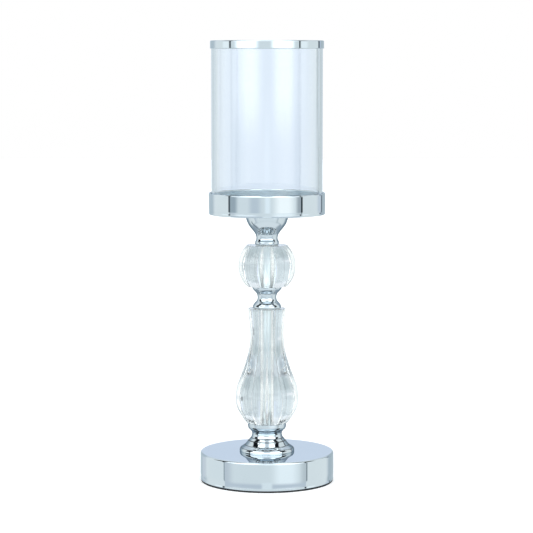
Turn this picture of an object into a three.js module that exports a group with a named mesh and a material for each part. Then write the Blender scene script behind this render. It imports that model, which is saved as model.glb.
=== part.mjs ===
// Hurricane candle lantern: a clear glass chimney with a chrome rim stands in a chrome tray,
// on a stem of cut crystal and turned chrome, over a round weighted base.
// One threaded rod runs up the middle and clamps the whole stem together.
// Millimetres, +Z up, origin on the resting surface under the middle of the base.
import * as THREE from 'three';

// Heights of the joints between pieces, from the resting surface up
const PAD_TOP = 1.6;
const BASE_TOP = 26.9;
const FOOT_TOP = 43.0;
const CUP_TOP = 53.0;
const COLUMN_BOTTOM = 53.5;
const COLUMN_TOP = 157.4;
const SPOOL_BOTTOM = 157.9;
const SPOOL_TOP = 177.3;
const BALL_BOTTOM = 177.8;
const BALL_TOP = 214.9;
const BELL_BOTTOM = 215.4;
const TRAY_BOTTOM = 243.0;
const TRAY_TOP = 262.5;
const LANTERN_TOP = 398.4;

// Main radii
const BASE_RADIUS = 60.5;
const FOOT_RADIUS = 24.9;
const CUP_RADIUS = 17.3;
const TRAY_RADIUS = 52.5;
const GLASS_RADIUS = 50.0;
const RIM_RADIUS = 51.0;

// Walls, play and seats
const SHEET = 1.2;
const GLASS_WALL = 2.5;
const REST_GAP = 0.2;
const RIM_SHEET = 0.7;
const RIM_DEPTH = 7.2;

// M6 rod, its clearance holes, and the tube that hides it inside the crystal
const ROD_RADIUS = 2.95;
const ROD_HOLE = 3.3;
const TUBE_BORE = 3.2;
const TUBE_RADIUS = 3.8;
const CRYSTAL_BORE = 4.2;
const NUT_ACROSS_FLATS = 10.0;
const NUT_HEIGHT = 5.0;
const WASHER_THICKNESS = 1.6;

// Steps round the axis, by size of piece; each count puts corners on the X and Y axes
const WIDE_STEPS = 48;
const MIDDLE_STEPS = 32;
const SMALL_STEPS = 16;

const QUARTER = Math.PI / 2;

const finish = {
  chrome: { color: 0xd3dde4, roughness: 0.05, metalness: 1.0 },
  steel: { color: 0xa9adb0, roughness: 0.35, metalness: 1.0 },
  iron: { color: 0x3c3d3f, roughness: 0.8, metalness: 0.4 },
  foam: { color: 0x1d1e20, roughness: 0.95, metalness: 0.0 },
  clear: { color: 0xe9f1f4, roughness: 0.3, metalness: 0.0 },
  crystal: { color: 0xdde8ee, roughness: 0.02, metalness: 0.0 },
  glass: { color: 0xe0edf8, roughness: 0.02, metalness: 0.0 },
};

const lantern = new THREE.Group();

function addPiece(name, geometry, look) {
  const mesh = new THREE.Mesh(geometry, new THREE.MeshStandardMaterial(finish[look]));
  mesh.name = name;
  lantern.add(mesh);
}

// Outline points, each written as [radius, height]
function straight(...pairs) {
  return pairs.map(([radius, height]) => new THREE.Vector2(radius, height));
}

function smooth(steps, ...pairs) {
  return new THREE.SplineCurve(straight(...pairs)).getPoints(steps);
}

function arc(radius, height, size, from, to, steps) {
  return Array.from({ length: steps + 1 }, (_, i) => {
    const angle = from + (to - from) * (i / steps);
    return new THREE.Vector2(radius + size * Math.cos(angle), height + size * Math.sin(angle));
  });
}

// Turns an outline round +Z: up the outer side, then down the inner side or along the axis
function turned(outline, steps) {
  const first = outline[0];
  const last = outline[outline.length - 1];
  const onAxis = first.x === 0 && last.x === 0;
  const closed = onAxis ? outline : [...outline, first.clone()];
  return new THREE.LatheGeometry(closed, steps).rotateX(QUARTER);
}

function ring(inner, outer, bottom, top, steps) {
  return turned(straight([outer, bottom], [outer, top], [inner, top], [inner, bottom]), steps);
}

// Draws the sides of a turned piece in by valleys that run along it; the bore stays round
function lobed(geometry, lobes, depth, valleyInFront) {
  const place = geometry.attributes.position;
  for (let i = 0; i < place.count; i += 1) {
    const x = place.getX(i);
    const y = place.getY(i);
    const angle = Math.atan2(x, -y) * (lobes / 2);
    const crown = Math.abs(valleyInFront ? Math.sin(angle) : Math.cos(angle));
    const scale = Math.hypot(x, y) > CRYSTAL_BORE + 1 ? 1 - depth * (1 - crown) : 1;
    place.setXY(i, x * scale, y * scale);
  }
  return geometry;
}

function extruded(shape, bottom, height) {
  const options = { depth: height, bevelEnabled: false, curveSegments: SMALL_STEPS / 2 };
  return new THREE.ExtrudeGeometry(shape, options).translate(0, 0, bottom);
}

function hexNut(bottom) {
  const corner = NUT_ACROSS_FLATS / Math.sqrt(3);
  const corners = Array.from({ length: 6 }, (_, i) => {
    const angle = (i * Math.PI) / 3;
    return new THREE.Vector2(corner * Math.cos(angle), corner * Math.sin(angle));
  });
  const shape = new THREE.Shape(corners);
  shape.holes.push(new THREE.Path().absarc(0, 0, ROD_RADIUS + 0.15, 0, 2 * Math.PI, true));
  return extruded(shape, bottom, NUT_HEIGHT);
}

// A spring washer: a flat ring with a narrow slit
function splitWasher(bottom, outer) {
  const slit = 0.12;
  const shape = new THREE.Shape();
  shape.absarc(0, 0, outer, slit, 2 * Math.PI - slit, false);
  shape.absarc(0, 0, ROD_HOLE, 2 * Math.PI - slit, slit, true);
  return extruded(shape, bottom, WASHER_THICKNESS);
}

// Base: foam pad, pressed chrome drum open underneath, and an iron weight hung inside it
function addBase() {
  const weightRadius = 54.0;
  const weightThickness = 9.0;
  const topCorner = 1.8;
  const footCorner = 0.8;
  const ceiling = BASE_TOP - SHEET;
  const inside = BASE_RADIUS - SHEET;
  const weightBottom = ceiling - weightThickness;
  addPiece('base_pad', turned(straight([0, 0], [BASE_RADIUS - 0.5, 0],
    [BASE_RADIUS - 0.5, PAD_TOP], [0, PAD_TOP]), WIDE_STEPS), 'foam');
  addPiece('base_cover', turned([
    ...straight([inside, PAD_TOP], [BASE_RADIUS - footCorner, PAD_TOP]),
    ...straight([BASE_RADIUS, PAD_TOP + footCorner]),
    ...arc(BASE_RADIUS - topCorner, BASE_TOP - topCorner, topCorner, 0, QUARTER, 3),
    ...straight([ROD_HOLE, BASE_TOP], [ROD_HOLE, ceiling], [inside - 1, ceiling], [inside, ceiling - 1]),
  ], WIDE_STEPS), 'chrome');
  addPiece('base_weight', ring(ROD_HOLE, weightRadius, weightBottom, ceiling, WIDE_STEPS), 'iron');
  const washerBottom = weightBottom - WASHER_THICKNESS;
  const lockBottom = washerBottom - WASHER_THICKNESS;
  addPiece('base_washer', ring(ROD_HOLE, 9.0, washerBottom, weightBottom, SMALL_STEPS), 'steel');
  addPiece('base_lock_washer', splitWasher(lockBottom, 5.6), 'steel');
  addPiece('base_nut', hexNut(lockBottom - NUT_HEIGHT), 'steel');
}

// Foot: beaded chrome turning that narrows to the neck under the cup
function addFoot() {
  addPiece('foot_spindle', turned([
    ...straight([FOOT_RADIUS - 1, BASE_TOP]),
    ...straight([FOOT_RADIUS, BASE_TOP + 1], [FOOT_RADIUS, 28.6], [24.2, 30.0]),
    ...straight([20.8, 31.9], [20.3, 33.0]),
    ...smooth(5, [19.2, 34.2], [16.6, 36.9], [14.2, 39.6], [13.5, FOOT_TOP]),
    ...straight([ROD_HOLE, FOOT_TOP], [ROD_HOLE, BASE_TOP]),
  ], MIDDLE_STEPS), 'chrome');
}

// Cup: flared chrome dish that the column stands on
function addColumnCup() {
  const floor = 48.0;
  const wall = 1.1;
  addPiece('column_cup', turned([
    ...smooth(5, [13.5, FOOT_TOP], [13.9, 44.7], [15.2, 46.4], [16.9, 48.2], [CUP_RADIUS, 49.6]),
    ...straight([CUP_RADIUS, CUP_TOP], [CUP_RADIUS - wall, CUP_TOP]),
    ...straight([CUP_RADIUS - wall, floor + 1.6], [CUP_RADIUS - wall - 1.6, floor]),
    ...straight([ROD_HOLE, floor], [ROD_HOLE, FOOT_TOP]),
  ], MIDDLE_STEPS), 'chrome');
  addPiece('column_lower_gasket', ring(14.6, 16.9, CUP_TOP, COLUMN_BOTTOM, MIDDLE_STEPS), 'clear');
  addPiece('column_tube', ring(TUBE_BORE, TUBE_RADIUS, floor, SPOOL_BOTTOM, SMALL_STEPS), 'chrome');
}

// Column: vase-shaped crystal with twelve shallow lobes and a round bore
function addColumn() {
  const body = turned([
    ...smooth(13, [18.9, COLUMN_BOTTOM], [25.0, 62.5], [28.5, 76.0], [26.1, 89.6], [20.5, 104.4],
      [16.4, 119.0], [14.9, 133.4], [15.8, 148.0], [16.9, COLUMN_TOP]),
    ...straight([CRYSTAL_BORE, COLUMN_TOP], [CRYSTAL_BORE, COLUMN_BOTTOM]),
  ], 48);
  addPiece('crystal_column', lobed(body, 12, 0.045, true), 'crystal');
  addPiece('column_upper_gasket', ring(4.8, 12.0, COLUMN_TOP, SPOOL_BOTTOM, SMALL_STEPS), 'clear');
}

// Spool: waisted chrome spacer between the two crystals, dished on top
function addSpool() {
  const floor = 174.6;
  addPiece('spool', turned([
    ...straight([12.0, SPOOL_BOTTOM], [12.7, SPOOL_BOTTOM + 0.8]),
    ...smooth(8, [12.6, 160.7], [10.8, 162.7], [8.9, 164.9], [8.35, 168.2], [9.4, 171.4],
      [12.2, 174.0], [13.3, 176.0]),
    ...straight([13.3, SPOOL_TOP - 0.3], [13.0, SPOOL_TOP], [11.4, SPOOL_TOP], [9.8, floor]),
    ...straight([ROD_HOLE, floor], [ROD_HOLE, SPOOL_BOTTOM]),
  ], MIDDLE_STEPS), 'chrome');
  addPiece('ball_lower_gasket', ring(11.6, 12.8, SPOOL_TOP, BALL_BOTTOM, MIDDLE_STEPS), 'clear');
  addPiece('ball_tube', ring(TUBE_BORE, TUBE_RADIUS, floor, BELL_BOTTOM, SMALL_STEPS), 'chrome');
}

// Ball: crystal sphere cut flat at both ends, with ten shallow lobes and a round bore
function addBall() {
  const size = 26.5;
  const middle = (BALL_BOTTOM + BALL_TOP) / 2;
  const reach = Math.asin((BALL_TOP - middle) / size);
  const body = turned([
    ...arc(0, middle, size, -reach, reach, 8),
    ...straight([CRYSTAL_BORE, BALL_TOP], [CRYSTAL_BORE, BALL_BOTTOM]),
  ], 40);
  addPiece('crystal_ball', lobed(body, 10, 0.05, false), 'crystal');
  addPiece('ball_upper_gasket', ring(4.8, 10.0, BALL_TOP, BELL_BOTTOM, SMALL_STEPS), 'clear');
}

// Bell: chrome flare that carries the tray, hollow above its neck
function addBell() {
  const neckTop = 221.0;
  addPiece('bell', turned([
    ...straight([10.2, BELL_BOTTOM], [10.7, BELL_BOTTOM + 0.5], [10.7, 217.2]),
    ...smooth(7, [10.1, 219.0], [9.6, 221.9], [10.6, 225.6], [13.4, 229.5], [16.2, 233.4],
      [18.3, 238.0], [19.8, TRAY_BOTTOM]),
    ...straight([18.4, TRAY_BOTTOM], [16.8, 238.0], [14.6, 233.4], [11.8, 229.5], [8.6, 225.2]),
    ...straight([7.6, neckTop], [ROD_HOLE, neckTop], [ROD_HOLE, BELL_BOTTOM]),
  ], MIDDLE_STEPS), 'chrome');
}

// Tray: shallow chrome dish, with the nut for the rod welded to its underside
function addTray() {
  const corner = 2.6;
  const lip = SHEET / 2;
  const inside = TRAY_RADIUS - SHEET;
  const floor = TRAY_BOTTOM + SHEET;
  addPiece('tray', turned([
    ...straight([0, TRAY_BOTTOM]),
    ...arc(TRAY_RADIUS - corner, TRAY_BOTTOM + corner, corner, -QUARTER, 0, 3),
    ...arc(TRAY_RADIUS - lip, TRAY_TOP - lip, lip, 0, Math.PI, 3),
    ...straight([inside, floor + 1.4], [inside - 0.4, floor + 0.4], [inside - 1.4, floor], [0, floor]),
  ], WIDE_STEPS), 'chrome');
  addPiece('tray_nut', hexNut(TRAY_BOTTOM - NUT_HEIGHT), 'steel');
}

// Tie rod: from under the base nut to just short of the tray
function addTieRod() {
  const bottom = 6.0;
  const top = TRAY_BOTTOM - 0.5;
  const outline = straight([0, bottom], [ROD_RADIUS, bottom], [ROD_RADIUS, top], [0, top]);
  addPiece('tie_rod', turned(outline, SMALL_STEPS), 'steel');
}

// Chimney: open glass cylinder with a chrome channel pressed over its top edge
function addChimney() {
  const inner = GLASS_RADIUS - GLASS_WALL;
  const glassBottom = TRAY_BOTTOM + SHEET + REST_GAP;
  const web = LANTERN_TOP - RIM_SHEET;
  const glassTop = web - REST_GAP;
  const skirt = LANTERN_TOP - RIM_DEPTH;
  const rimInner = inner - (RIM_RADIUS - GLASS_RADIUS);
  addPiece('glass_chimney', ring(inner, GLASS_RADIUS, glassBottom, glassTop, WIDE_STEPS), 'glass');
  addPiece('chimney_rim', turned([
    ...straight([RIM_RADIUS - RIM_SHEET, skirt], [RIM_RADIUS, skirt], [RIM_RADIUS, LANTERN_TOP - 0.5]),
    ...straight([RIM_RADIUS - 0.5, LANTERN_TOP], [rimInner + 0.5, LANTERN_TOP]),
    ...straight([rimInner, LANTERN_TOP - 0.5], [rimInner, skirt], [rimInner + RIM_SHEET, skirt]),
    ...straight([rimInner + RIM_SHEET, web], [RIM_RADIUS - RIM_SHEET, web]),
  ], WIDE_STEPS), 'chrome');
}

addBase();
addFoot();
addColumnCup();
addColumn();
addSpool();
addBall();
addBell();
addTray();
addTieRod();
addChimney();

export default lantern;
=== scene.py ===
import math

import bmesh
import bpy
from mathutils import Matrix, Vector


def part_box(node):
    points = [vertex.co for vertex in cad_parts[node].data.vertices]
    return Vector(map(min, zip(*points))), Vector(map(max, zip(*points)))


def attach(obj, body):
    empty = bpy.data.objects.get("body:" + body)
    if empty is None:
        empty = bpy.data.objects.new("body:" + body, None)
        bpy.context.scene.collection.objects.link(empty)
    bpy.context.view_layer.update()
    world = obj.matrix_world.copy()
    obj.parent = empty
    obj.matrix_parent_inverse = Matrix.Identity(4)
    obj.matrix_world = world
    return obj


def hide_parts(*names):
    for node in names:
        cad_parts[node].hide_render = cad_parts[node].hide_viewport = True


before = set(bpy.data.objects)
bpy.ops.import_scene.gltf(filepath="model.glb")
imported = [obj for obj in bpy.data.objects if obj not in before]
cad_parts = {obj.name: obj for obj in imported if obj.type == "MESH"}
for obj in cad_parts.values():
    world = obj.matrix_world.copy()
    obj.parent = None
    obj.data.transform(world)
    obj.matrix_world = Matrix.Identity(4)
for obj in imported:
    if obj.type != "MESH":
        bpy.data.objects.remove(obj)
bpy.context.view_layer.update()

# A hurricane candle lantern: glass chimney, chrome tray, crystal stem and chrome base.
# Outlines are [radius, height] in millimetres, heights counted from the underside of the
# CAD node that the piece stands for. The frame gives each node's underside, top and radius.

MM = 0.001
TURN = 2 * math.pi
QUARTER = math.pi / 2
WIDE = 192                 # steps round the axis
NARROW = 96                # the same for the small rings
FLUTED = 720               # the same for crystals, a multiple of twice both flute counts
COLUMN_FLUTES = 12
BALL_FLUTES = 10
GROOVE_POWER = 4           # the higher, the narrower the grooves
SHARP = 32                 # edges sharper than this, in degrees, aren't smoothed
CRYSTAL_SHARP = 14         # the same for the crystals
CORNER_STEPS = 7           # steps in a quarter turn of a rounded corner
LONG_STRETCH = 2.5         # a straight stretch longer than this gets a ring near each end,
GUARD = 0.15               # this far from it, so that its shading stays flat
ROD_HOLE = 3.3             # radius of the hole for the rod, in millimetres like all outlines
TUBE_BORE = 3.2
CRYSTAL_BORE = 4.2
SHEET = 1.2                # thickness of the pressed drum and tray


# ---------------------------------------------------------------- outlines

def span(cad_node):
    """Underside, height and radius of a CAD node, in millimetres."""
    low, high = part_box(cad_node)
    return low.z / MM, (high.z - low.z) / MM, high.x / MM


def curve(points, steps=8):
    """Points along a smooth curve through the given ones, steps to each stretch."""
    ends = [mirrored(points[0], points[1]), *points, mirrored(points[-1], points[-2])]
    made = []
    for before, start, end, after in zip(ends, ends[1:], ends[2:], ends[3:]):
        for i in range(steps):
            made.append(catmull(before, start, end, after, i / steps))
    return made + [points[-1]]


def mirrored(end, inner):
    return [2 * e - i for e, i in zip(end, inner)]


def catmull(a, b, c, d, t):
    weights = (
        (-t + 2 * t**2 - t**3) / 2,
        (2 - 5 * t**2 + 3 * t**3) / 2,
        (t + 4 * t**2 - 3 * t**3) / 2,
        (t**3 - t**2) / 2,
    )
    return [sum(w * p[k] for w, p in zip(weights, (a, b, c, d))) for k in (0, 1)]


def arc(radius, height, size, start, end, steps=40):
    """Points on a circle of that size about (radius, height), angles in degrees."""
    angles = [math.radians(start + (end - start) * i / steps) for i in range(steps + 1)]
    return [[radius + size * math.cos(a), height + size * math.sin(a)] for a in angles]


def rounded(corners):
    """A closed or axis-to-axis outline whose corners [radius, height, fillet] are rounded."""
    if corners[0][0] == 0:
        return rounded_run(corners)
    made = []
    for i, corner in enumerate(corners):
        made += eased(corners[i - 1], corner, corners[(i + 1) % len(corners)])
    return made


def rounded_run(corners):
    """An open stretch of outline with rounded corners between its two ends."""
    made = [corners[0][:2]]
    for before, corner, after in zip(corners, corners[1:], corners[2:]):
        made += eased(before, corner, after)
    return made + [corners[-1][:2]]


def eased(before, corner, after):
    """A corner as it is, or the points of its fillet where it has one."""
    if len(corner) == 2:
        return [corner]
    return filleted(before[:2], corner[:2], after[:2], corner[2])


def filleted(before, corner, after, size):
    """The arc of that radius that touches both lines meeting at a corner."""
    to_before = direction(corner, before)
    to_after = direction(corner, after)
    half = math.acos(max(-1, min(1, dot(to_before, to_after)))) / 2
    reach = size / math.tan(half)
    middle = direction([0, 0], [b + a for b, a in zip(to_before, to_after)])
    centre = [c + m * size / math.sin(half) for c, m in zip(corner, middle)]
    start = [c + b * reach - o for c, b, o in zip(corner, to_before, centre)]
    end = [c + a * reach - o for c, a, o in zip(corner, to_after, centre)]
    first = math.atan2(start[1], start[0])
    turn = (math.atan2(end[1], end[0]) - first + math.pi) % TURN - math.pi
    steps = max(2, round(CORNER_STEPS * abs(turn) / QUARTER))
    return [
        [
            centre[0] + size * math.cos(first + turn * i / steps),
            centre[1] + size * math.sin(first + turn * i / steps),
        ]
        for i in range(steps + 1)
    ]


def guarded(outline):
    """The outline with a point near each end of its long stretches, which keeps them flat."""
    on_axis = outline[0][0] == 0
    following = outline[1:] if on_axis else outline[1:] + outline[:1]
    made = []
    for start, end in zip(outline, following):
        made.append(start)
        length = math.hypot(end[0] - start[0], end[1] - start[1])
        if length > LONG_STRETCH:
            for part in (GUARD / length, 1 - GUARD / length):
                made.append([s + (e - s) * part for s, e in zip(start, end)])
    return made + outline[-1:] if on_axis else made


def direction(start, end):
    step = [e - s for s, e in zip(start, end)]
    length = math.hypot(*step)
    return [s / length for s in step]


def dot(a, b):
    return a[0] * b[0] + a[1] * b[1]


# ---------------------------------------------------------------- meshes

def round_section(radius, angle):
    return radius


def fluted(count, depth, groove_in_front):
    """A section with narrow rounded grooves along the piece, and a plain round bore."""
    def section(radius, angle):
        if radius <= CRYSTAL_BORE:
            return radius
        swing = angle * count / 2
        crown = abs(math.sin(swing) if groove_in_front else math.cos(swing))
        return radius * (1 - depth * (1 - crown) ** GROOVE_POWER)
    return section


def turned(name, outline, underside, steps=WIDE, section=round_section, sharp=SHARP):
    """A solid turned about the lantern's axis; an outline point on the axis is a pole."""
    vertices = []
    rows = []
    closed = outline[0][0] != 0
    for radius, height in guarded(outline):
        if radius == 0:
            rows.append([len(vertices)] * steps)
            vertices.append((0, 0, (underside + height) * MM))
            continue
        rows.append(list(range(len(vertices), len(vertices) + steps)))
        for k in range(steps):
            angle = TURN * k / steps
            out = section(radius, angle) * MM
            x, y = out * math.sin(angle), -out * math.cos(angle)
            vertices.append((x, y, (underside + height) * MM))
    pairs = list(zip(rows, rows[1:] + rows[:1])) if closed else list(zip(rows, rows[1:]))
    faces = []
    for low, high in pairs:
        for k in range(steps):
            n = (k + 1) % steps
            ring = dict.fromkeys((low[k], low[n], high[n], high[k]))
            faces.append(list(ring))
    return solid(name, vertices, faces, sharp)


def solid(name, vertices, faces, sharp):
    """A mesh object with outward normals, smooth except across edges sharper than that."""
    mesh = bpy.data.meshes.new(name)
    mesh.from_pydata(vertices, [], faces)
    shaped = bmesh.new()
    shaped.from_mesh(mesh)
    bmesh.ops.remove_doubles(shaped, verts=shaped.verts, dist=1e-7)
    bmesh.ops.recalc_face_normals(shaped, faces=shaped.faces)
    shaped.to_mesh(mesh)
    shaped.free()
    mesh.shade_smooth()
    mesh.set_sharp_from_angle(angle=math.radians(sharp))
    piece = bpy.data.objects.new(name, mesh)
    bpy.context.scene.collection.objects.link(piece)
    return piece


def stand_for(piece, cad_node, body, material):
    """Puts a finished piece in place of a CAD node."""
    piece.data.materials.append(material)
    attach(piece, body)
    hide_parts(cad_node)
    return piece


# ---------------------------------------------------------------- materials

def shader(name):
    """A new material, its node tree and its Principled shader."""
    material = bpy.data.materials.new(name)
    material.use_nodes = True
    tree = material.node_tree
    principled = next(n for n in tree.nodes if n.type == "BSDF_PRINCIPLED")
    return material, tree, principled


def node(tree, kind, **settings):
    made = tree.nodes.new(kind)
    for key, value in settings.items():
        if key in made.inputs:
            made.inputs[key].default_value = value
        else:
            setattr(made, key, value)
    return made


def maths(tree, operation, *values):
    made = node(tree, "ShaderNodeMath", operation=operation)
    for socket, value in zip(made.inputs, values):
        if isinstance(value, (int, float)):
            socket.default_value = value
        else:
            tree.links.new(value, socket)
    return made.outputs[0]


def place(tree, stretch=(1, 1, 1)):
    """Object coordinates in metres, stretched."""
    coordinates = node(tree, "ShaderNodeTexCoord")
    mapping = node(tree, "ShaderNodeMapping")
    mapping.inputs["Scale"].default_value = stretch
    tree.links.new(coordinates.outputs["Object"], mapping.inputs["Vector"])
    return mapping.outputs["Vector"]


def noise(tree, vector, scale, detail=3.0, rough=0.5):
    made = node(tree, "ShaderNodeTexNoise", Scale=scale, Detail=detail, Roughness=rough)
    tree.links.new(vector, made.inputs["Vector"])
    return made.outputs["Fac"]


def between(tree, factor, low, high):
    """A number that follows a factor between two values."""
    made = node(tree, "ShaderNodeMapRange")
    made.inputs["To Min"].default_value = low
    made.inputs["To Max"].default_value = high
    tree.links.new(factor, made.inputs["Value"])
    return made.outputs["Result"]


def tones(tree, factor, *stops):
    """A colour ramp; each stop is (position, (r, g, b))."""
    made = node(tree, "ShaderNodeValToRGB")
    elements = made.color_ramp.elements
    while len(elements) < len(stops):
        elements.new(1.0)
    for element, (position, colour) in zip(elements, stops):
        element.position = position
        element.color = (*colour, 1)
    tree.links.new(factor, made.inputs["Fac"])
    return made.outputs["Color"]


def bump(tree, principled, height, strength, distance):
    made = node(tree, "ShaderNodeBump", Strength=strength, Distance=distance)
    tree.links.new(height, made.inputs["Height"])
    tree.links.new(made.outputs["Normal"], principled.inputs["Normal"])


def chrome(name, ripple, grain, edge):
    """Bright plate: nearly a mirror, with a faint ripple and polish marks round the axis.

    The edge colour is its tint at grazing angles.
    """
    material, tree, principled = shader(name)
    principled.inputs["Metallic"].default_value = 1.0
    principled.inputs["Specular Tint"].default_value = (*edge, 1)
    vector = place(tree)
    cloudy = noise(tree, vector, 22.0)
    fine = noise(tree, place(tree, (1, 1, 9)), grain, 5.0, 0.6)
    colour = tones(tree, cloudy, (0.3, (0.60, 0.665, 0.715)), (0.7, (0.625, 0.69, 0.74)))
    tree.links.new(colour, principled.inputs["Base Color"])
    tree.links.new(between(tree, fine, 0.015, 0.05), principled.inputs["Roughness"])
    bump(tree, principled, cloudy, ripple, 0.0004)
    return material


def clear(name, tint, index, ripple, ground_bore=0.0):
    """Clear glass with a faint ripple and a slightly uneven tint.

    Within the radius of its bore the surface is ground with streaks along it, not polished.
    """
    material, tree, principled = shader(name)
    principled.inputs["Transmission Weight"].default_value = 1.0
    principled.inputs["IOR"].default_value = index
    vector = place(tree, (1, 1, 0.35))
    wavy = noise(tree, vector, 30.0, 2.0)
    paler = tuple(min(1.0, c + 0.01) for c in tint)
    tree.links.new(tones(tree, wavy, (0.3, tint), (0.7, paler)), principled.inputs["Base Color"])
    polished = between(tree, wavy, 0.0, 0.012)
    height = wavy
    if ground_bore:
        from_axis = node(tree, "ShaderNodeVectorMath", operation="LENGTH")
        tree.links.new(place(tree, (1, 1, 0)), from_axis.inputs[0])
        inside = maths(tree, "LESS_THAN", from_axis.outputs["Value"], ground_bore)
        streaks = noise(tree, place(tree, (1, 1, 0.02)), 900.0, 2.0)
        ground = maths(tree, "MULTIPLY", inside, between(tree, streaks, 0.15, 0.5))
        polished = maths(tree, "ADD", polished, ground)
        drawn = maths(tree, "MULTIPLY", streaks, maths(tree, "MULTIPLY_ADD", inside, 24.0, 1.0))
        height = maths(tree, "ADD", wavy, drawn)
    tree.links.new(polished, principled.inputs["Roughness"])
    bump(tree, principled, height, ripple, 0.0003)
    return material


def soft_plastic():
    """Milky clear plastic."""
    material, tree, principled = shader("clear_washer")
    principled.inputs["Transmission Weight"].default_value = 0.3
    principled.inputs["IOR"].default_value = 1.5
    cloudy = noise(tree, place(tree), 400.0)
    colour = tones(tree, cloudy, (0.3, (0.85, 0.9, 0.92)), (0.7, (0.93, 0.96, 0.97)))
    tree.links.new(colour, principled.inputs["Base Color"])
    tree.links.new(between(tree, cloudy, 0.15, 0.35), principled.inputs["Roughness"])
    bump(tree, principled, cloudy, 0.15, 0.0001)
    return material


def satin(name, stretch, dull, bright):
    """Plate with fine marks, not polished; the marks run where the stretch is small."""
    material, tree, principled = shader(name)
    principled.inputs["Metallic"].default_value = 1.0
    marks = noise(tree, place(tree, stretch), 90.0, 4.0)
    tree.links.new(tones(tree, marks, (0.3, dull), (0.7, bright)), principled.inputs["Base Color"])
    tree.links.new(between(tree, marks, 0.3, 0.45), principled.inputs["Roughness"])
    bump(tree, principled, marks, 0.1, 0.0001)
    return material


def foam():
    """Black closed-cell foam."""
    material, tree, principled = shader("foam_pad")
    principled.inputs["Specular IOR Level"].default_value = 0.1
    cells = node(tree, "ShaderNodeTexVoronoi", Scale=1800.0)
    tree.links.new(place(tree), cells.inputs["Vector"])
    height = cells.outputs["Distance"]
    colour = tones(tree, height, (0.1, (0.012, 0.012, 0.014)), (0.8, (0.035, 0.036, 0.04)))
    tree.links.new(colour, principled.inputs["Base Color"])
    tree.links.new(between(tree, height, 0.98, 0.8), principled.inputs["Roughness"])
    bump(tree, principled, height, 0.5, 0.0003)
    return material


def zinc_steel():
    material, tree, principled = shader("zinc_steel")
    principled.inputs["Metallic"].default_value = 1.0
    spangle = noise(tree, place(tree), 260.0, 4.0)
    colour = tones(tree, spangle, (0.3, (0.42, 0.44, 0.46)), (0.7, (0.62, 0.64, 0.66)))
    tree.links.new(colour, principled.inputs["Base Color"])
    tree.links.new(between(tree, spangle, 0.25, 0.5), principled.inputs["Roughness"])
    bump(tree, principled, spangle, 0.2, 0.0002)
    return material


def cast_iron():
    material, tree, principled = shader("cast_iron")
    principled.inputs["Metallic"].default_value = 0.6
    grit = noise(tree, place(tree), 320.0, 8.0, 0.7)
    colour = tones(tree, grit, (0.3, (0.03, 0.03, 0.033)), (0.75, (0.12, 0.115, 0.11)))
    tree.links.new(colour, principled.inputs["Base Color"])
    tree.links.new(between(tree, grit, 0.65, 0.95), principled.inputs["Roughness"])
    bump(tree, principled, grit, 0.6, 0.0006)
    return material


ALONG = (6, 6, 0.3)        # marks that run along the piece
ROUND = (1, 1, 30)         # marks that run round it
BORE_WALL = (CRYSTAL_BORE + 0.1) * MM   # what is nearer to the axis is the bore's wall

SHEET_CHROME = chrome("sheet_chrome", ripple=0.03, grain=300.0, edge=(1.0, 1.0, 1.0))
TURNED_CHROME = chrome("turned_chrome", ripple=0.02, grain=500.0, edge=(0.35, 0.4, 0.45))
CHIMNEY_GLASS = clear("chimney_glass", (0.985, 0.995, 0.99), index=1.5, ripple=0.03)
CRYSTAL = clear("crystal", (0.975, 0.99, 0.985), index=1.53, ripple=0.015, ground_bore=BORE_WALL)
SATIN_TUBE = satin("satin_tube", ALONG, dull=(0.72, 0.8, 0.85), bright=(0.9, 0.96, 1.0))
SATIN_LINING = satin("satin_lining", ROUND, dull=(0.7, 0.8, 0.88), bright=(0.78, 0.88, 0.96))
# Painted shade: near-black plate for the foot's ledges, standing in for the dark lines that
# reflections draw on the chrome there.
PAINTED_LEDGE_SHADE = satin("painted_ledge_shade", ROUND, dull=(0.05, 0.056, 0.06), bright=(0.1, 0.11, 0.12))
WASHER = soft_plastic()
FOAM = foam()
STEEL = zinc_steel()
IRON = cast_iron()


# ---------------------------------------------------------------- base

def build_base():
    low, high, wide = span("base_pad")
    pad = rounded([[0, 0], [wide, 0, 0.4], [wide, high, 0.3], [0, high]])
    stand_for(turned("foam_pad", pad, low), "base_pad", "stand", FOAM)
    low, high, wide = span("base_cover")
    inside = wide - SHEET
    drum = rounded([
        [inside, 0, 0.3], [wide - 0.3, 0, 0.3], [wide, 0.5, 0.3],
        [wide - 0.32, 1.9, 0.6], [wide, 6.2, 50.0], [wide, high, 1.8],
        [ROD_HOLE, high, 0.2], [ROD_HOLE, high - SHEET, 0.2], [inside, high - SHEET, 1.0],
    ])
    stand_for(turned("chrome_drum", drum, low), "base_cover", "stand", SHEET_CHROME)


# ---------------------------------------------------------------- stem

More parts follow.
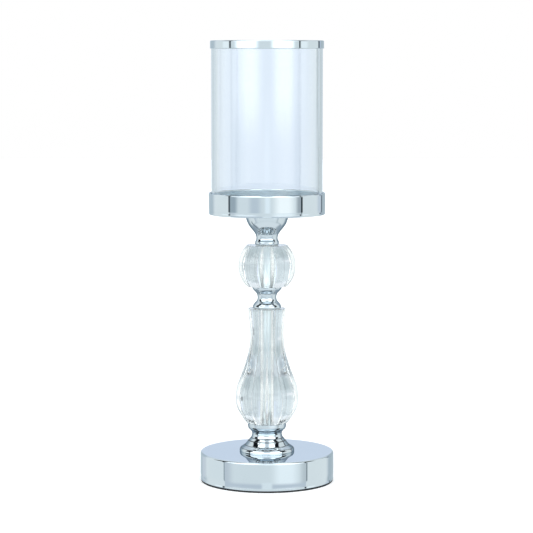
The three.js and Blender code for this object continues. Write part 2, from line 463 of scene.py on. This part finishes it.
def build_foot():
    low, high, _ = span("foot_spindle")
    near_axis = 2 * ROD_HOLE    # faces nearer to the axis than this line the hole
    ledges = (
        [[24.0, 3.35], [23.6, 3.6]],
        [[20.4, 5.8], [19.9, 6.15]],
        [[17.1, 9.7], [16.4, 10.3]],
        [[14.9, 12.3], [14.3, 12.7]],
    )
    outline = [
        [24.7, 0],
        *curve([[24.85, 0.4], [24.85, 1.2], [24.6, 2.3], [24.1, 3.2]]),
        *ledges[0],
        *curve([[23.5, 3.7], [22.4, 4.5], [21.3, 5.15], [20.6, 5.6]]),
        *ledges[1],
        *curve([[19.7, 6.4], [18.2, 8.2], [17.2, 9.5]]),
        *ledges[2],
        *curve([[16.3, 10.5], [15.6, 11.4], [15.0, 12.1]]),
        *ledges[3],
        *rounded_run([[14.2, 12.9], [13.7, 14.4, 2.0], [13.5, 15.6]]),
        [13.5, high],
        [ROD_HOLE, high],
        [ROD_HOLE, 0],
    ]
    foot = stand_for(turned("foot", outline, low), "foot_spindle", "stand", TURNED_CHROME)
    # The ledge faces get the painted shade, dark lines drawn on the plate in place of dark
    # reflections.
    foot.data.materials.append(PAINTED_LEDGE_SHADE)
    for face in foot.data.polygons:
        height = face.center.z / MM - low
        on_ledge = any(bottom < height < top for (_, bottom), (_, top) in ledges)
        if on_ledge and face.center.xy.length > near_axis * MM:
            face.material_index = 1


def build_cup():
    low, high, wide = span("column_cup")
    floor = 5.0
    wall = 1.1
    inside = wide - wall
    outline = [
        *curve([[13.5, 0], [13.8, 1.6], [15.0, 3.3], [16.7, 5.0], [wide - 0.05, 6.6]]),
        *rounded_run([[wide, 7.0], [wide, high, 0.4], [inside, high, 0.4], [inside, high - 1]]),
        *rounded_run([[inside, floor + 3], [inside, floor, 1.8], [ROD_HOLE, floor]]),
        [ROD_HOLE, 0],
    ]
    cup = turned("cup", outline, low)
    stand_for(cup, "column_cup", "stand", TURNED_CHROME)


def build_column():
    low, high, _ = span("crystal_column")
    side = curve([
        [18.9, 0], [21.4, 3.4], [24.9, 9.0], [27.6, 15.0], [28.5, 22.5], [27.6, 31.0],
        [25.4, 38.0], [20.6, 50.9], [17.8, 60.0], [16.0, 67.5], [15.0, 78.0], [15.3, 87.0],
        [16.1, 95.0], [16.9, high],
    ])
    outline = [*side, [CRYSTAL_BORE, high], [CRYSTAL_BORE, 0]]
    section = fluted(COLUMN_FLUTES, depth=0.022, groove_in_front=True)
    column = turned("tall_crystal", outline, low, FLUTED, section, CRYSTAL_SHARP)
    stand_for(column, "crystal_column", "stand", CRYSTAL)


def build_spool():
    low, high, wide = span("spool")
    floor = 16.7
    waist = curve([
        [12.1, 3.2], [10.8, 4.8], [9.2, 6.6], [8.45, 8.7], [8.5, 10.8], [9.3, 13.2],
        [11.2, 15.4], [12.8, 17.2],
    ])
    dish = rounded_run([
        [13.0, 17.6], [wide, 18.3, 0.4], [wide, high, 0.4], [11.5, high, 0.4],
        [9.8, floor, 0.6], [ROD_HOLE, floor],
    ])
    outline = [
        *rounded_run([[11.6, 0], [12.7, 0, 0.6], [12.7, 1.6, 0.5], [12.2, 3.0]]),
        *waist[1:],
        *dish,
        [ROD_HOLE, 0],
    ]
    spool = turned("waisted_spool", outline, low)
    stand_for(spool, "spool", "stand", TURNED_CHROME)


def build_ball():
    low, high, _ = span("crystal_ball")
    size = 26.0
    reach = math.degrees(math.asin(high / 2 / size))
    side = arc(0, high / 2, size, -reach, reach)
    outline = [*side, [CRYSTAL_BORE, high], [CRYSTAL_BORE, 0]]
    section = fluted(BALL_FLUTES, depth=0.03, groove_in_front=False)
    ball = turned("ball_crystal", outline, low, FLUTED, section, CRYSTAL_SHARP)
    stand_for(ball, "crystal_ball", "stand", CRYSTAL)


def build_bell():
    low, high, wide = span("bell")
    floor = 5.6
    outside = curve([
        [9.7, 4.8], [9.55, 6.4], [10.1, 8.8], [11.2, 10.9], [13.1, 13.4], [15.2, 15.9],
        [17.2, 19.0], [18.5, 22.4], [19.3, 25.4], [wide, high],
    ], 6)
    inside = curve([
        [wide - 1.7, 25.2], [16.9, 22.4], [15.6, 19.0], [13.6, 15.9], [11.3, 13.4], [9.2, 10.9],
    ], 6)
    outline = [
        *rounded_run([[9.6, 0], [10.7, 0, 0.7], [10.7, 2.6, 0.7], [9.9, 4.2]]),
        *outside[1:],
        [wide - 1.3, high],
        *inside,
        [7.6, floor],
        [ROD_HOLE, floor],
        [ROD_HOLE, 0],
    ]
    bell = turned("flared_bell", outline, low)
    stand_for(bell, "bell", "stand", TURNED_CHROME)


def build_small_rings():
    """Tubes over the rod and washers at the crystals' ends."""
    edge = 0.15
    tubes = {"column_tube": "column_sleeve", "ball_tube": "ball_sleeve"}
    for node_name, name in tubes.items():
        low, high, wide = span(node_name)
        outline = rounded([
            [TUBE_BORE, 0], [wide, 0, edge], [wide, high, edge], [TUBE_BORE, high],
        ])
        tube = turned(name, outline, low, NARROW)
        stand_for(tube, node_name, "stand", SATIN_TUBE)
    washers = {
        "column_lower_gasket": 14.6,
        "column_upper_gasket": 4.8,
        "ball_lower_gasket": 11.6,
        "ball_upper_gasket": 4.8,
    }
    for node_name, hole in washers.items():
        low, high, wide = span(node_name)
        outline = rounded([
            [hole, 0, edge], [wide, 0, edge], [wide, high, edge], [hole, high, edge],
        ])
        ring = turned(node_name.replace("gasket", "washer"), outline, low, NARROW)
        stand_for(ring, node_name, "stand", WASHER)


# ---------------------------------------------------------------- tray and chimney

def build_tray():
    low, high, wide = span("tray")
    inside = wide - SHEET
    slack = 0.02
    outline = rounded([
        [0, 0], [wide - 0.25, 0, 0.4], [wide, 1.6, 2.0], [wide - 0.14, 2.7, 2.0], [wide, 4.3, 2.0],
        [wide, high - 1.2, 1.0], [wide - 0.08, high - 0.6, 0.3], [wide - 0.5, high, 0.12],
        [inside, high - 0.9, 0.4], [inside, SHEET, 1.4], [0, SHEET],
    ])
    tray = stand_for(turned("chrome_tray", outline, low), "tray", "stand", SHEET_CHROME)
    tray.data.materials.append(SATIN_LINING)
    for face in tray.data.polygons:
        inward = face.center.xy.length < (inside + slack) * MM
        if inward and face.center.z > (low + SHEET - slack) * MM:
            face.material_index = 1


def build_chimney():
    low, high, wide = span("glass_chimney")
    inner = wide - 2.5
    edge = 0.9
    outline = rounded([
        [inner, 0, edge], [wide, 0, edge], [wide, high, edge], [inner, high, edge],
    ])
    glass = turned("glass_cylinder", outline, low)
    stand_for(glass, "glass_chimney", "chimney", CHIMNEY_GLASS)
    low, high, wide = span("chimney_rim")
    rim_sheet = 0.7
    inner = 46.5
    channel = high - rim_sheet
    outline = rounded([
        [wide - rim_sheet, 0, 0.2], [wide, 0, 0.3], [wide, high, 0.9], [inner, high, 0.9],
        [inner, 0, 0.3], [inner + rim_sheet, 0, 0.2], [inner + rim_sheet, channel, 0.3],
        [wide - rim_sheet, channel, 0.3],
    ])
    rim = turned("chrome_rim", outline, low)
    stand_for(rim, "chimney_rim", "chimney", SHEET_CHROME)


# ---------------------------------------------------------------- studio

BACKDROP = (0.735, 0.835, 0.975)
FOLD_DEPTH = 0.35           # of the upright folds in its cloth, on both sides

NO_START = (-999, 1)
NO_END = (999, 1)
LAMP = (1.7, 1.8, 1.84)

# Each panel of light or shade: its left and right limits in azimuth, its lower and upper
# limits in elevation, each limit with the width of its soft edge, all in degrees, and its
# colour. Azimuth 0 is behind the camera, 90 is to its right. A later panel hides the
# earlier ones.
PANELS = (
    ("high_backdrop", NO_START, NO_END, (22, 12), NO_END, (0.85, 0.92, 0.98)),
    ("low_backdrop", NO_START, NO_END, NO_START, (-5, 3), (0.62, 0.71, 0.78)),
    ("dark_backdrop", NO_START, NO_END, (-34, 6), (-13, 12), (0.45, 0.54, 0.58)),
    ("far_table", NO_START, NO_END, NO_START, (-36, 10), (0.48, 0.55, 0.6)),
    ("near_table", (-98, 28), (102, 28), NO_START, (-38, 8), (0.98, 1.04, 1.05)),
    ("ceiling", NO_START, NO_END, (58, 8), NO_END, (0.2, 0.22, 0.24)),
    ("overhead", NO_START, NO_END, (76, 6), NO_END, LAMP),
    ("left_overhead", NO_START, (-150, 10), (46, 6), NO_END, LAMP),
    ("right_overhead", (150, 10), NO_END, (46, 6), NO_END, LAMP),
    ("left_far", (-170, 20), (-124, 30), (-17, 12), (24, 6), (0.59, 0.685, 0.74)),
    ("right_far", (138, 2), (172, 14), (-17, 12), (24, 6), (0.54, 0.625, 0.67)),
    ("left_wall", (-131, 24), (-60, 2), (-36, 8), (56, 8), (1.02, 1.07, 1.06)),
    ("left_low_end", (-150, 20), (-120, 8), (-13.6, 1), (-10.4, 1), (0.76, 0.82, 0.88)),
    ("left_low_wall", (-134, 20), (-60, 2), (-14, 4), (-8, 2), (0.99, 1.05, 1.05)),
    ("right_wall", (60, 2), (130, 18), (-36, 8), (56, 8), (1.0, 1.05, 1.04)),
    ("right_wall_end", (119, 14), (134, 2), (-8, 2), (-1.5, 2), (0.75, 0.82, 0.89)),
    ("left_rim_light", (-100, 8), (-84, 2), (-1.5, 2), (6, 2), (1.2, 1.26, 1.26)),
    ("right_rim_light", (73, 2), (90, 10), (-1.5, 2), (6, 2), (1.2, 1.26, 1.26)),
    ("front_wall", (-79, 2), (72, 2), (-40, 6), (56, 6), (0.95, 1.02, 1.03)),
    ("left_low_shade", (-79, 1), (-66, 18), (-40, 2), (-7, 2), (0.74, 0.8, 0.85)),
    ("right_low_shade", (62, 14), (72, 1), (-40, 2), (-7, 2), (0.72, 0.78, 0.8)),
    ("left_shade", (-79, 1), (-62, 12), (-7, 2), (-1.5, 2), (0.47, 0.55, 0.6)),
    ("left_dip", (-34, 14), (-14, 14), (-8, 4), (-1, 4), (0.74, 0.82, 0.88)),
    ("right_shade", (61, 10), (73, 1), (-7, 2), (-1.5, 2), (0.5, 0.55, 0.58)),
    ("right_low_glow", (14, 22), (52, 22), (-30, 3), (-7, 3), (1.18, 1.25, 1.26)),
    ("right_glow", (17, 22), (52, 22), (-7, 3), (4, 3), (1.37, 1.40, 1.37)),
    ("centre_strip", (-4, 7), (6, 7), (-8, 3), (-1.5, 3), (1.13, 1.22, 1.25)),
    ("front_horizon", (-79, 2), (72, 2), (-27, 4), (-16, 6), (0.72, 0.79, 0.86)),
    ("middle_horizon", (-9, 6), (9, 6), (-29, 4), (-13, 4), (1.02, 1.1, 1.12)),
    ("front_softbox", (-76, 4), (69, 4), (11, 4), (72, 4), (2.3, 2.4, 2.4)),
    ("left_softbox", (-63, 18), (-22, 18), (-1.6, 2), (4, 2), (2.2, 2.3, 2.35)),
    ("right_softbox", (13, 18), (52, 18), (-1.8, 2), (4, 2), (2.3, 2.4, 2.4)),
    ("softbox_middle", (-20, 14), (20, 14), (40, 3), (76, 4), (0.84, 0.92, 0.97)),
    ("low_gap", (-79, 2), (72, 2), (30, 1.5), (37, 2), (0.45, 0.5, 0.54)),
    ("high_gap", (-79, 2), (72, 2), (54, 1), (56.5, 1), (0.22, 0.25, 0.27)),
    ("left_slot", (-82, 1.5), (-77.6, 2.5), (-6, 2), (12, 2), (0.1, 0.12, 0.13)),
    ("right_low_slot", (70.5, 1.5), (74.5, 1.5), (-6, 2), (-2, 2), (0.02, 0.03, 0.035)),
    ("right_slot", (67.8, 1.5), (71, 1.5), (-2, 2), (12, 2), (0.02, 0.03, 0.035)),
    ("left_base_slot", (-80.5, 1.2), (-78, 1.2), (-14, 2), (-7, 2), (0.45, 0.52, 0.55)),
    ("right_base_slot", (71.5, 1.2), (74, 1.2), (-14, 2), (-7, 2), (0.3, 0.35, 0.37)),
    ("left_table_slot", (-112, 4), (-104, 4), (-60, 3), (-27, 3), (0.2, 0.24, 0.27)),
    ("left_high_slot", (-106, 6), (-76, 2), (12, 6), (74, 6), (0.01, 0.012, 0.015)),
    ("right_high_slot", (69, 2), (94, 6), (14, 6), (74, 6), (0.01, 0.012, 0.015)),
    ("right_low_seam", (134, 2.5), (140.5, 2.5), (-8, 2), (-2, 2), (0.2, 0.24, 0.27)),
    ("right_seam", (126.5, 2.5), (134, 2.5), (-2, 2), (50, 2), (0.15, 0.18, 0.2)),
)

# The sockets that a Mix node uses for colours.
MIX_FACTOR, MIX_FROM, MIX_TO = 0, 6, 7
MIX_RESULT = 2


def build_world():
    world = bpy.data.worlds.new("studio")
    bpy.context.scene.world = world
    world.use_nodes = True
    tree = world.node_tree
    tree.nodes.clear()
    split = node(tree, "ShaderNodeSeparateXYZ")
    coordinates = node(tree, "ShaderNodeTexCoord")
    tree.links.new(coordinates.outputs["Generated"], split.inputs["Vector"])
    x, y, z = (split.outputs[k] for k in "XYZ")
    azimuth = to_degrees(tree, maths(tree, "ARCTAN2", x, maths(tree, "MULTIPLY", y, -1.0)))
    elevation = to_degrees(tree, maths(tree, "ARCSINE", z))
    colour = node(tree, "ShaderNodeRGB").outputs[0]
    colour.default_value = (*BACKDROP, 1)
    for name, left, right, low, high, light in PANELS:
        across = band(tree, azimuth, left, right)
        upward = band(tree, elevation, low, high)
        mask = maths(tree, "MULTIPLY", across, upward)
        mix = node(tree, "ShaderNodeMix", data_type="RGBA", label=name)
        mix.inputs[MIX_TO].default_value = (*light, 1)
        tree.links.new(mask, mix.inputs[MIX_FACTOR])
        tree.links.new(colour, mix.inputs[MIX_FROM])
        colour = mix.outputs[MIX_RESULT]
    folds = node(tree, "ShaderNodeTexNoise", noise_dimensions="1D", Scale=0.3, Detail=2.0)
    tree.links.new(azimuth, folds.inputs["W"])
    draped = band(tree, maths(tree, "ABSOLUTE", azimuth), (128, 10), (172, 10))
    swing = between(tree, folds.outputs["Fac"], -FOLD_DEPTH, FOLD_DEPTH)
    light = maths(tree, "MULTIPLY_ADD", draped, swing, 1.0)
    draping = node(tree, "ShaderNodeVectorMath", operation="SCALE")
    tree.links.new(colour, draping.inputs[0])
    tree.links.new(light, draping.inputs["Scale"])
    studio = node(tree, "ShaderNodeBackground")
    tree.links.new(draping.outputs[0], studio.inputs["Color"])
    plain = node(tree, "ShaderNodeBackground", Color=(1, 1, 1, 1))
    rays = node(tree, "ShaderNodeLightPath")
    either = node(tree, "ShaderNodeMixShader")
    tree.links.new(rays.outputs["Is Camera Ray"], either.inputs["Fac"])
    tree.links.new(studio.outputs[0], either.inputs[1])
    tree.links.new(plain.outputs[0], either.inputs[2])
    output = node(tree, "ShaderNodeOutputWorld")
    tree.links.new(either.outputs[0], output.inputs["Surface"])


def to_degrees(tree, radians):
    return maths(tree, "DEGREES", radians)


def band(tree, value, low, high):
    """One between two limits, none outside; each is (limit, width of its soft edge)."""
    rising = ramp(tree, value, low[0] - low[1] / 2, low[0] + low[1] / 2)
    falling = ramp(tree, value, high[0] + high[1] / 2, high[0] - high[1] / 2)
    return maths(tree, "MULTIPLY", rising, falling)


def ramp(tree, value, start, end):
    made = node(tree, "ShaderNodeMapRange", interpolation_type="SMOOTHSTEP")
    made.inputs["From Min"].default_value = min(start, end)
    made.inputs["From Max"].default_value = max(start, end)
    made.inputs["To Min"].default_value = 0.0 if start < end else 1.0
    made.inputs["To Max"].default_value = 1.0 if start < end else 0.0
    tree.links.new(value, made.inputs["Value"])
    return made.outputs["Result"]


def build_floor():
    reach = 6.0
    corners = [(-reach, -reach, 0), (reach, -reach, 0), (reach, reach, 0), (-reach, reach, 0)]
    mesh = bpy.data.meshes.new("floor")
    mesh.from_pydata(corners, [], [(0, 1, 2, 3)])
    floor = bpy.data.objects.new("floor", mesh)
    bpy.context.scene.collection.objects.link(floor)
    material, tree, principled = shader("pale_floor")
    principled.inputs["Base Color"].default_value = (0.8, 0.8, 0.8, 1)
    principled.inputs["Roughness"].default_value = 0.9
    principled.inputs["Specular IOR Level"].default_value = 0.0
    principled.inputs["Emission Color"].default_value = (1, 1, 1, 1)
    principled.inputs["Emission Strength"].default_value = 0.35
    mesh.materials.append(material)
    floor.visible_glossy = False
    floor.visible_transmission = False


def build_camera():
    """Long lens a little under two metres away, about level with the rim and tipped down."""
    tip = 5.756
    data = bpy.data.cameras.new("camera")
    data.sensor_width = 36.0
    data.lens = 139.05
    data.clip_start = 0.1
    data.clip_end = 50.0
    camera = bpy.data.objects.new("camera", data)
    bpy.context.scene.collection.objects.link(camera)
    camera.location = (-0.00045, -1.8506, 0.38194)
    camera.rotation_euler = (math.radians(90 - tip), 0, 0)
    bpy.context.scene.camera = camera


def finish_cad_nodes():
    """Real finishes for the CAD nodes that stay: the rod, its fasteners and the weight."""
    stays = {
        "base_weight": IRON,
        "base_washer": STEEL,
        "base_lock_washer": STEEL,
        "base_nut": STEEL,
        "tie_rod": STEEL,
        "tray_nut": STEEL,
    }
    for name, material in stays.items():
        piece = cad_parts[name]
        piece.data.materials.clear()
        piece.data.materials.append(material)


build_base()
build_foot()
build_cup()
build_column()
build_spool()
build_ball()
build_bell()
build_small_rings()
build_tray()
build_chimney()
finish_cad_nodes()
build_world()
build_floor()
build_camera()
bpy.context.scene.view_settings.view_transform = "Standard"
light_paths = bpy.context.scene.cycles      # long ones, for glass seen through glass
light_paths.max_bounces = 24
light_paths.glossy_bounces = 12
light_paths.transmission_bounces = 24
